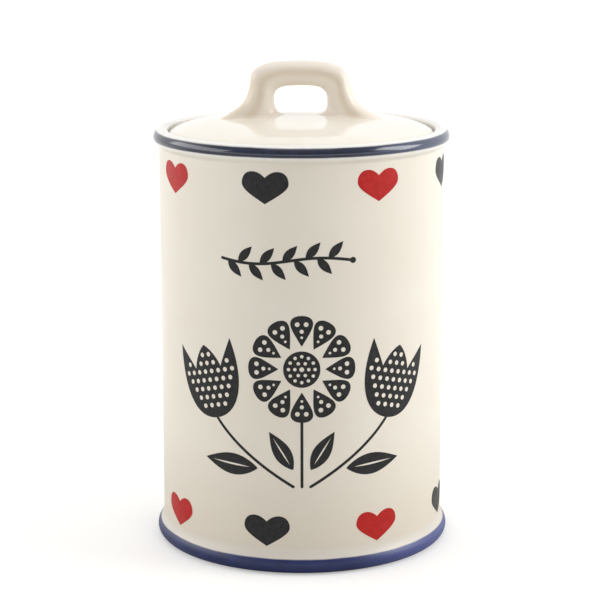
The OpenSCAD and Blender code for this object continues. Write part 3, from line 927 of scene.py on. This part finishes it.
def lid_section():
    """The cover's section, from the dome's middle round the edge and plug ring to the underside."""
    edge_x = LID_R - LID_EDGE_R
    start_r = edge_x
    for _ in range(20):  # settles on where the dome runs into the rolled edge
        edge_angle = math.atan2(1, dome_slope(start_r))
        start_r = edge_x + LID_EDGE_R * math.cos(edge_angle)
    edge_z = dome_z(start_r) - LID_EDGE_R * math.sin(edge_angle)
    top = [Vector((start_r * i / DOME_STEPS, dome_z(start_r * i / DOME_STEPS)))
           for i in range(DOME_STEPS)]
    edge = arc(edge_x, edge_z, LID_EDGE_R, edge_angle, 0)
    under_z = dome_z(PLUG_IN_R) - LID_T
    plug_z = SEAT_Z - PLUG_H
    plug = rounded([
        (LID_R, edge_z, 0),
        (LID_R, SEAT_Z, 1.0),
        (PLUG_R, SEAT_Z, 0.6),
        (PLUG_R, SEAL_Z + SEAL_H, 0),
        (PLUG_R - GROOVE_D, SEAL_Z + SEAL_H, 0),
        (PLUG_R - GROOVE_D, SEAL_Z, 0),
        (PLUG_R, SEAL_Z, 0),
        (PLUG_R, plug_z, 1.5),
        (PLUG_IN_R, plug_z, 1.5),
        (PLUG_IN_R, under_z, 0),
    ])
    inner = [Vector((PLUG_IN_R * i / DOME_STEPS, dome_z(PLUG_IN_R * i / DOME_STEPS) - LID_T))
             for i in range(DOME_STEPS, -1, -1)]
    return top + edge + plug[1:-1] + inner


RING_POINTS = 48
HALF_RINGS = 96
BAR_POWER = 2.4
SHOULDER_POWER = 2.7
WINDOW_POWER = 3.4
WINDOW_PULLS = (0.4, 0.15)  # the heights, as shares of the window's, that shape its side
LEG_LEAN = 0.245
LEG_PULL = 0.483
FOOT_PULL = 0.465
FOOT_ANGLE = math.radians(36)
HOLLOW_AT = 0.12  # where the hollow lies, from the strap's inner side, -1, to its outer side, 1
HOLLOW_W = 0.32
HOLLOW_DEEP = 0.07  # as a share of the strap's depth
LEG_SHADE = 0.9  # how much painted shade darkens the outside of the left leg
LEG_SHADE_DOWN = (0.25, 0.5)  # where that sets in, from 0 at the bar's middle to 1 at the foot
LEG_SHADE_OUT = (0.3, 0.8)  # and across the strap, as for the hollow
WELD_R = 2.2  # radius of the glaze-filled corner between handle and dome
WELD_FROM = 0.6  # where that filling starts, from 0 at the bar's middle to 1 at the foot
WELD_THIN = 0.8  # how much less it runs out at the outer tip of the foot
WELD_SINK = 0.8
EVEN_PASSES = 10


def corner(width, height, power, t):
    """A rounded corner, from its top to its side."""
    a = math.pi / 2 * t
    return Vector((width * math.sin(a) ** (2 / power), height * math.cos(a) ** (2 / power)))


def strap_out(t):
    """Outer side of the strap: a rounded shoulder, then a sweep out to the tip of the foot."""
    shoulder = Vector((HANDLE_W / 2, HANDLE_TOP_Z - SHOULDER_H))
    if t < 0.5:
        return Vector((0, shoulder.y)) + corner(shoulder.x, SHOULDER_H, SHOULDER_POWER, 2 * t)
    tip = Vector((FOOT_SPAN / 2, dome_z(FOOT_SPAN / 2)))
    leg = shoulder + LEG_PULL * HANDLE_H * Vector((LEG_LEAN, -1))
    run = tip + FOOT_PULL * HANDLE_H * Vector((-math.cos(FOOT_ANGLE), math.sin(FOOT_ANGLE)))
    return curve_at([shoulder, leg, run, tip], 2 * t - 1)


def strap_in(t):
    """Inner side of the strap: the window's corner, then its side, down to the heel."""
    side_x, corner_z = WINDOW_W / 2, CROWN_Z + WINDOW_H - WINDOW_CORNER_H
    if t < 0.5:
        return Vector((0, corner_z)) + corner(side_x, WINDOW_CORNER_H, WINDOW_POWER, 2 * t)
    heel_x = side_x - HEEL_IN
    pulls = [(side_x, CROWN_Z + pull * WINDOW_H) for pull in WINDOW_PULLS]
    return curve_at([(side_x, corner_z), *pulls, (heel_x, dome_z(heel_x))], 2 * t - 1)


def evened(points):
    """Takes the last kinks out of a row of points, with its ends kept."""
    for _ in range(EVEN_PASSES):
        points = ([points[0]]
                  + [(a + 2 * b + c) / 4 for a, b, c in zip(points, points[1:], points[2:])]
                  + [points[-1]])
    return points


def lean(z):
    """How far the strap has leant to the side at a height."""
    return -HANDLE_LEAN * (z - CROWN_Z) / HANDLE_H


def spread(c):
    """Squares up the strap's round section a little. c is a cosine or sine."""
    return math.copysign(abs(c) ** (2 / BAR_POWER), c)


def hollow(along):
    """1 in the middle of the hollow that runs along the strap's faces, and 0 away from it."""
    return math.exp(-(((along - HOLLOW_AT) / HOLLOW_W) ** 2))


def ramp(value, low, high):
    return max(0.0, min(1.0, (value - low) / (high - low)))


def painted_shade_at(t, along):
    """How much painted shade darkens the glaze at a place on the strap, 0 to 1. t is -1 at the left
    foot.
    """
    leg_shade = LEG_SHADE * ramp(-t, *LEG_SHADE_DOWN) * ramp(along, *LEG_SHADE_OUT)
    return max(hollow(along), leg_shade)


def welded(p, centre):
    """Runs a point of the strap out into the corner between handle and dome."""
    out = Vector((p.x - centre.x, p.y))
    height = p.z - dome_z(math.hypot(p.x, p.y))
    if height >= WELD_R or out.length < 1e-6:
        return p
    low = max(height, 0.0)
    push = WELD_R - math.sqrt(max(WELD_R**2 - (WELD_R - low) ** 2, 0.0))
    out.normalize()
    push *= 1 - WELD_THIN * max(0.0, out.x * math.copysign(1, centre.x))
    return Vector((p.x + push * out.x, p.y + push * out.y, p.z))


def make_handle():
    """The strap, as rings of points from its left foot over the bar to its right foot."""
    steps = [i / HALF_RINGS for i in range(-HALF_RINGS, HALF_RINGS + 1)]

    def both_sides(side_of):
        points = [side_of(abs(t)) for t in steps]
        return evened([Vector((math.copysign(p.x, t), p.y)) for p, t in zip(points, steps)])

    outer, inner = both_sides(strap_out), both_sides(strap_in)
    rings, painted_shade = [], []
    for t, a, b in zip(steps, outer, inner):
        depth = HANDLE_D + (HANDLE_FOOT_D - HANDLE_D) * max(0.0, 2 * abs(t) - 1) ** 2
        middle, half = (a + b) / 2, (a - b) / 2
        ring = []
        for i in range(RING_POINTS):
            w = 2 * math.pi * i / RING_POINTS
            along = spread(math.cos(w))
            p = middle + half * along
            face = spread(math.sin(w)) * (1 - HOLLOW_DEEP * hollow(along)) * depth / 2
            q = Vector((p.x, face, p.y))
            q = welded(q, middle) if abs(t) > WELD_FROM else q
            ring.append(Vector((q.x + lean(q.z), q.y, q.z)))
            painted_shade.append(painted_shade_at(t, along))
        rings.append(ring)
    rings = ([[p - Vector((0, 0, WELD_SINK)) for p in rings[0]]] + rings
             + [[p - Vector((0, 0, WELD_SINK)) for p in rings[-1]]])
    points = [p for ring in rings for p in ring]
    n, last = RING_POINTS, (len(rings) - 1) * RING_POINTS
    faces = [tuple(range(n - 1, -1, -1)), tuple(range(last, last + n))]
    for k in range(len(rings) - 1):
        for i in range(n):
            j = (i + 1) % n
            faces.append((k * n + i, k * n + j, k * n + n + j, k * n + n + i))
    piece = make_object("strap_handle", points, faces, handle_glaze_shaded)
    painted_shade = painted_shade[:n] + painted_shade + painted_shade[-n:]
    piece.data.attributes.new(SHADE_ATTRIBUTE, "FLOAT", "POINT").data.foreach_set("value", painted_shade)
    return dress(piece, "lid", "ivory_glaze", "lid_handle")


def make_lid():
    dress(turned("lid_dome", lid_section(), lid_glaze), "lid", "ivory_glaze", "lid_cover")
    make_handle()


FIN_FLAT = 0.4  # how far the flat under a fin runs out before it slants up


def make_seal():
    """The silicone ring in the plug's groove: a band with two fins."""
    inner, band, outer = PLUG_R - GROOVE_D + SEAL_GAP, PLUG_R + SEAL_STAND, MOUTH_R - SEAL_GAP
    section = [(inner, SEAL_Z, 0), (band, SEAL_Z, 0)]
    for z in (SEAL_Z, SEAL_Z + SEAL_H - FIN_T - FIN_LIFT):
        section += [(band + FIN_FLAT, z, 0.1), (outer, z + FIN_LIFT, 0.3),
                    (outer, z + FIN_LIFT + FIN_T, 0.3), (band, z + FIN_T, 0.2)]
    section += [(band, SEAL_Z + SEAL_H, 0.2), (inner, SEAL_Z + SEAL_H, 0)]
    piece = turned("seal_ring", rounded(section, 4), silicone_material(), closed=True)
    dress(piece, "seal", "seal_silicone", "lid_seal")


# ---- Studio ----

FLOOR_SIZE = 30.0
FLOOR_PALE = (0.66, 0.65, 0.635, 1.0)
FLOOR_GLOW = (0.35, 0.7)  # near the jar and away from it
FLOOR_GLOW_REACH = (0.12, 0.5)  # metres from the jar's axis between which it rises
FLOOR_BEHIND_Y = (0.0, 0.4)  # metres behind the axis where reflections come to meet plain white


def make_floor():
    """A white sweep of floor that keeps the jar's soft shadow and bleaches out away from it."""
    mesh = bpy.data.meshes.new("floor")
    half = FLOOR_SIZE / 2
    corners = [(-half, -half, 0), (half, -half, 0), (half, half, 0), (-half, half, 0)]
    mesh.from_pydata(corners, [], [(0, 1, 2, 3)])
    material, n = new_material("floor_paper")
    paper = n.add("ShaderNodeBsdfDiffuse", {"Color": FLOOR_PALE})
    seen = n.backdrop_seen(n.remap(n.along("Y"), *FLOOR_BEHIND_Y, 0.0, 1.0, smooth=True))
    reach = n.add("ShaderNodeVectorMath", {0: n.place()}, operation="LENGTH").outputs["Value"]
    level = n.remap(reach, *FLOOR_GLOW_REACH, *FLOOR_GLOW, smooth=True)
    glow = n.add("ShaderNodeEmission", {"Strength": n.maths("MULTIPLY", seen, level)})
    both = n.add("ShaderNodeAddShader", {0: paper.outputs[0], 1: glow.outputs[0]})
    n.add("ShaderNodeOutputMaterial", {"Surface": both.outputs[0]})
    mesh.materials.append(material)
    floor = bpy.data.objects.new("floor", mesh)
    bpy.context.scene.collection.objects.link(floor)


# How bright the air is, and where that changes, by the upward and backward part of a direction.
WORLD_HORIZON = 2.6
WORLD_FRONT = 0.38
WORLD_OVERHEAD = 0.6
WORLD_BACK = 1.42
HORIZON_UP = (0.0, 0.3)
OVERHEAD_UP = (0.3, 0.75)
BEHIND_BACK = (-0.2, 0.5)


def make_world():
    """Soft studio air, bright behind the jar and low in front of it, and white to the camera."""
    world = bpy.data.worlds.new("studio")
    world.use_nodes = True
    bpy.context.scene.world = world
    n = Nodes(world.node_tree)
    direction = n.add("ShaderNodeTexCoord").outputs["Generated"]
    way = n.add("ShaderNodeSeparateXYZ", {"Vector": direction}).outputs
    low = n.remap(way["Z"], *HORIZON_UP, WORLD_HORIZON, WORLD_FRONT, smooth=True)
    overhead = n.remap(way["Z"], *OVERHEAD_UP, 0.0, WORLD_OVERHEAD - WORLD_FRONT, smooth=True)
    behind = n.remap(way["Y"], *BEHIND_BACK, 0.0, 1.0, smooth=True)
    front = n.maths("MULTIPLY", n.maths("ADD", low, overhead), n.maths("SUBTRACT", 1.0, behind))
    air = n.maths("ADD", front, n.maths("MULTIPLY", behind, WORLD_BACK))
    level = n.maths("MAXIMUM", air, n.backdrop_seen(behind))
    back = n.add("ShaderNodeBackground", {"Strength": level})
    n.add("ShaderNodeOutputWorld", {"Surface": back.outputs[0]})


LIGHT_TARGET_Z = 0.12


def softbox(name, azimuth, elevation, distance, width, height, radiance, tilt=0.0):
    """A rectangular lamp aimed at the jar, in metres and degrees.

    Azimuth 0 is in front of the jar and 90 to its right.
    """
    a, e = math.radians(azimuth), math.radians(elevation)
    target = Vector((0, 0, LIGHT_TARGET_Z))
    way = Vector((math.sin(a) * math.cos(e), -math.cos(a) * math.cos(e), math.sin(e)))
    lamp = bpy.data.lights.new(name, "AREA")
    lamp.shape = "RECTANGLE"
    lamp.size, lamp.size_y = width, height
    lamp.energy = radiance * math.pi * width * height
    box = bpy.data.objects.new(name, lamp)
    box.location = target + way * distance
    aim = way.to_track_quat("Z", "Y").to_matrix() @ Matrix.Rotation(math.radians(tilt), 3, "Z")
    box.rotation_euler = aim.to_euler()
    bpy.context.scene.collection.objects.link(box)


def make_lights():
    softbox("right_softbox", azimuth=83, elevation=26, distance=1.3,
            width=0.64, height=0.85, radiance=5.5, tilt=38)
    softbox("left_softbox", azimuth=-90, elevation=24, distance=1.3,
            width=1.4, height=0.6, radiance=2.55)
    softbox("top_softbox", azimuth=0, elevation=85, distance=1.4,
            width=0.8, height=0.8, radiance=1.2)


CAMERA_PLACE = (0, -1025.8, 342.8)  # millimetres
CAMERA_PITCH = math.radians(12.275)
CAMERA_YAW = 0.0008
CAMERA_ROLL = -0.0021
FRAME_PX = 600
FOCAL_PX = 2088.7
SENSOR = 36.0
CLIP_END = 60


def make_camera():
    """The photo's view. Its frame is FRAME_PX pixels wide."""
    data = bpy.data.cameras.new("camera")
    data.sensor_width = SENSOR
    data.lens = SENSOR * FOCAL_PX / FRAME_PX
    data.clip_end = CLIP_END
    camera = bpy.data.objects.new("camera", data)
    camera.location = Vector(CAMERA_PLACE) * MM
    yaw = Matrix.Rotation(CAMERA_YAW, 4, "Z")
    pitch = Matrix.Rotation(math.pi / 2 - CAMERA_PITCH, 4, "X")
    roll = Matrix.Rotation(CAMERA_ROLL, 4, "Z")
    camera.rotation_euler = (yaw @ pitch @ roll).to_euler()
    bpy.context.scene.collection.objects.link(camera)
    bpy.context.scene.camera = camera


make_camera()
make_jar()
make_hearts()
make_flower()
make_sprig()
make_lid()
make_seal()
make_floor()
make_world()
make_lights()
bpy.context.scene.view_settings.view_transform = "Standard"
